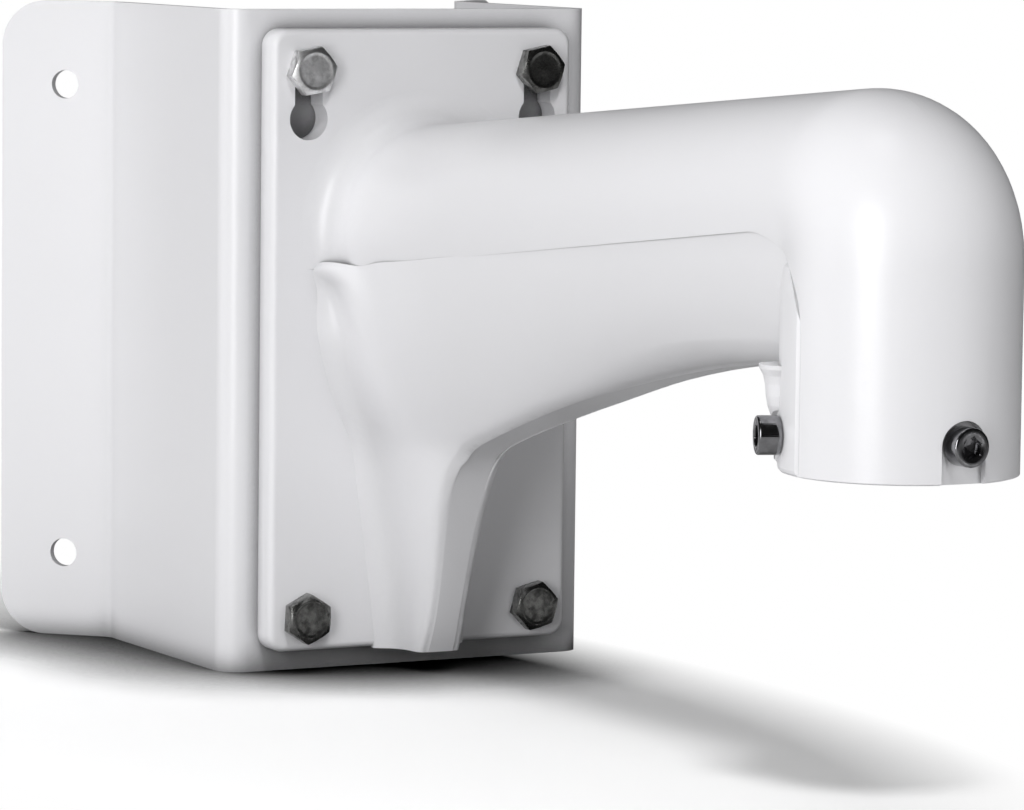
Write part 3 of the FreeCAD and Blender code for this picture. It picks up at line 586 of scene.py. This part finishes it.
class BRACKET_OT_cap_screws(bpy.types.Operator):
    """Make the three knurled cap screws round the collar"""

    bl_idname = "bracket.cap_screws"
    bl_label = "Cap screws"

    def execute(self, context):
        settings = context.scene.bracket.screws
        steel = forged_steel("oiled_steel", settings.steel, roughness=0.13,
                             lathe_depth=0.000002, stain_share=0.75)
        for place in SCREW_PLACES:
            node = "cap_screw_" + place
            screw = cap_screw_skin("knurled_screw_" + place, node, settings)
            screw.data.materials.append(steel)
            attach(screw, "root")
            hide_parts(node)
        return {"FINISHED"}


def seen_directly(tree):
    """1 for rays straight from the camera, else 0."""
    return add_node(tree, "ShaderNodeLightPath").outputs["Is Camera Ray"]


def make_floor(stage):
    """The floor under the adapter: a square grid whose paint keeps the shadow inside an ellipse
    round the part, with a painted contact shadow that darkens its colour most where the part
    stands on it, and turns to even white beyond it for the camera alone. A coat that only the
    camera sees brings the lit floor to white."""
    half = stage.floor_size / 2.0
    level = cad_box[0][2]
    count = FLOOR_CELLS + 1
    steps = np.linspace(-half, half, count)
    x, y = np.meshgrid(steps, steps, indexing="ij")
    points = np.stack([x.ravel(), y.ravel(), np.full(x.size, level)], axis=1)
    i = np.arange(FLOOR_CELLS)[:, None] * count
    j = np.arange(FLOOR_CELLS)[None, :]
    faces = np.stack([i + j, i + count + j, i + count + 1 + j, i + 1 + j],
                     axis=2).reshape(-1, 4)
    mesh = bpy.data.meshes.new("studio_floor")
    mesh.from_pydata(points.tolist(), [], faces.tolist())
    mesh.update()
    floor = bpy.data.objects.new("studio_floor", mesh)
    bpy.context.scene.collection.objects.link(floor)

    material = bpy.data.materials.new("floor_paint")
    material.use_nodes = True
    tree = material.node_tree
    tree.nodes.clear()
    place = add_node(tree, "ShaderNodeTexCoord").outputs["Object"]
    fleck = noise_at(tree, place, 0.004, detail=3.0)
    colour = toned(tree, fleck, tinted(stage.floor_colour, 0.992),
                   tinted(stage.floor_colour, 1.0))
    # Painted contact shadow: the ambient occlusion, raised to a power, mixes the floor's colour
    # towards black near the part.
    open_share = add_node(tree, "ShaderNodeAmbientOcclusion",
                          {"Distance": stage.painted_contact_reach}, samples=8).outputs["AO"]
    closed = add_node(tree, "ShaderNodeMath", {0: open_share, 1: PAINTED_CONTACT_SHADOW_POWER},
                      operation="POWER").outputs[0]
    shaded = add_node(tree, "ShaderNodeMixRGB", {"Fac": closed, "Color1": (0.0, 0.0, 0.0, 1.0),
                                                 "Color2": colour}).outputs["Color"]
    paint = add_node(tree, "ShaderNodeBsdfDiffuse", {"Color": shaded}).outputs[0]
    seen = seen_directly(tree)
    share = add_node(tree, "ShaderNodeMath", {0: seen, 1: stage.floor_coat - 1.0},
                     operation="MULTIPLY").outputs[0]
    extra = add_node(tree, "ShaderNodeVectorMath", {0: shaded, "Scale": share},
                     operation="SCALE").outputs["Vector"]
    coat = add_node(tree, "ShaderNodeBsdfDiffuse", {"Color": extra}).outputs[0]
    near = add_node(tree, "ShaderNodeAddShader", {0: paint, 1: coat}).outputs[0]
    away = add_node(tree, "ShaderNodeEmission", {"Strength": 1.0}).outputs[0]
    pool = add_node(tree, "ShaderNodeMapping", {"Vector": place, "Scale": POOL_SCALE,
                                                "Location": POOL_SHIFT}).outputs["Vector"]
    reach = add_node(tree, "ShaderNodeVectorMath", {0: pool},
                     operation="LENGTH").outputs["Value"]
    fade = ranged(tree, reach, 0.0, 1.0, 0.8, 1.15)
    only_seen = add_node(tree, "ShaderNodeMath", {0: fade, 1: seen},
                         operation="MULTIPLY").outputs[0]
    mixed = add_node(tree, "ShaderNodeMixShader", {0: only_seen, 1: near, 2: away})
    output = add_node(tree, "ShaderNodeOutputMaterial")
    tree.links.new(mixed.outputs[0], output.inputs["Surface"])
    mesh.materials.append(material)


def make_sky(stage):
    """A world that lights evenly from all round and looks white where it is seen."""
    world = bpy.data.worlds.new("studio_sky")
    bpy.context.scene.world = world
    world.use_nodes = True
    tree = world.node_tree
    background = tree.nodes["Background"]
    background.inputs["Color"].default_value = (1.0, 1.0, 1.0, 1.0)
    strength = ranged(tree, seen_directly(tree), stage.sky, 1.0, 0.0, 1.0)
    tree.links.new(strength, background.inputs["Strength"])


def make_light(name, power, turn, rise, distance, size, shines):
    """A soft box of a width and a height that looks at the bracket from an angle round from +X,
    a rise over the floor's plane and a distance. Only one that shines shows up in the gloss."""
    light = bpy.data.lights.new(name, "AREA")
    light.shape = "RECTANGLE"
    light.size, light.size_y = size
    light.energy = power
    lamp = bpy.data.objects.new(name, light)
    around = math.radians(turn)
    above = math.radians(rise)
    out = Vector((math.cos(around) * math.cos(above), math.sin(around) * math.cos(above),
                  math.sin(above)))
    lamp.location = LIGHT_AIM + out * distance
    lamp.rotation_euler = (-out).to_track_quat("-Z", "Y").to_euler()
    lamp.visible_glossy = shines
    bpy.context.scene.collection.objects.link(lamp)


def make_camera(stage):
    """The camera: it looks back along the arm's line turned by the turn angle, dips down, and
    rolls about its own view."""
    turn = stage.camera_turn
    dip = stage.camera_dip
    ahead = Vector((-math.cos(turn) * math.cos(dip), math.sin(turn) * math.cos(dip),
                    -math.sin(dip)))
    level_right = Vector((math.sin(turn), math.cos(turn), 0.0))
    level_up = level_right.cross(ahead)
    roll = stage.camera_roll
    right = level_right * math.cos(roll) + level_up * math.sin(roll)
    up = level_up * math.cos(roll) - level_right * math.sin(roll)
    data = bpy.data.cameras.new("camera")
    data.sensor_width = 36.0
    data.lens = stage.lens
    data.clip_end = 200.0
    camera = bpy.data.objects.new("camera", data)
    axes = Matrix((right, up, -ahead)).transposed().to_4x4()
    camera.matrix_world = Matrix.Translation(stage.camera_place) @ axes
    bpy.context.scene.collection.objects.link(camera)
    bpy.context.scene.camera = camera


class BRACKET_OT_stage(bpy.types.Operator):
    """Set up the pale floor, the soft light and the camera"""

    bl_idname = "bracket.stage"
    bl_label = "Stage"

    def execute(self, context):
        stage = context.scene.bracket.stage
        make_floor(stage)
        make_sky(stage)
        make_light("soft_box", stage.soft_power, turn=-54.0, rise=8.0, distance=1.0,
                   size=(0.36, 0.72), shines=True)
        make_light("key_light", stage.key_power, turn=-20.0, rise=50.0, distance=1.1,
                   size=(0.18, 0.18), shines=False)
        make_light("left_light", stage.left_power, turn=-110.0, rise=6.0, distance=1.0,
                   size=(0.6, 0.7), shines=False)
        make_light("right_light", stage.right_power, turn=17.0, rise=-2.0, distance=0.68,
                   size=(0.12, 0.2), shines=False)
        make_light("over_light", stage.over_power, turn=-47.0, rise=76.0, distance=1.0,
                   size=(0.28, 0.28), shines=True)
        make_light("back_light", stage.back_power, turn=165.0, rise=22.0, distance=1.1,
                   size=(0.7, 0.7), shines=False)
        make_camera(stage)
        context.scene.view_settings.view_transform = "Standard"
        return {"FINISHED"}


class BRACKET_PT_panel(bpy.types.Panel):
    """The bracket's steps and sizes"""

    bl_idname = "BRACKET_PT_panel"
    bl_label = "Camera wall bracket"
    bl_space_type = "VIEW_3D"
    bl_region_type = "UI"
    bl_category = "Bracket"

    def draw(self, context):
        bracket = context.scene.bracket
        for operator, group in (("bracket.adapter", bracket.paint),
                                ("bracket.arm", bracket.paint),
                                ("bracket.bolts", bracket.bolts),
                                ("bracket.cap_screws", bracket.screws),
                                ("bracket.stage", bracket.stage)):
            box = self.layout.box()
            box.operator(operator)
            for name in group.__annotations__:
                box.prop(group, name)


CLASSES = (PaintSettings, BoltSettings, CapScrewSettings, StageSettings, BracketSettings,
           BRACKET_OT_adapter, BRACKET_OT_arm, BRACKET_OT_bolts, BRACKET_OT_cap_screws,
           BRACKET_OT_stage, BRACKET_PT_panel)


def register():
    """Register the classes and hang the settings on the scene."""
    for cls in CLASSES:
        bpy.utils.register_class(cls)
    bpy.types.Scene.bracket = PointerProperty(type=BracketSettings)


def unregister():
    """Take the settings and the classes away."""
    del bpy.types.Scene.bracket
    for cls in reversed(CLASSES):
        bpy.utils.unregister_class(cls)


def main():
    register()
    bpy.ops.bracket.adapter()
    bpy.ops.bracket.arm()
    bpy.ops.bracket.bolts()
    bpy.ops.bracket.cap_screws()
    bpy.ops.bracket.stage()


if __name__ == "__main__":
    main()
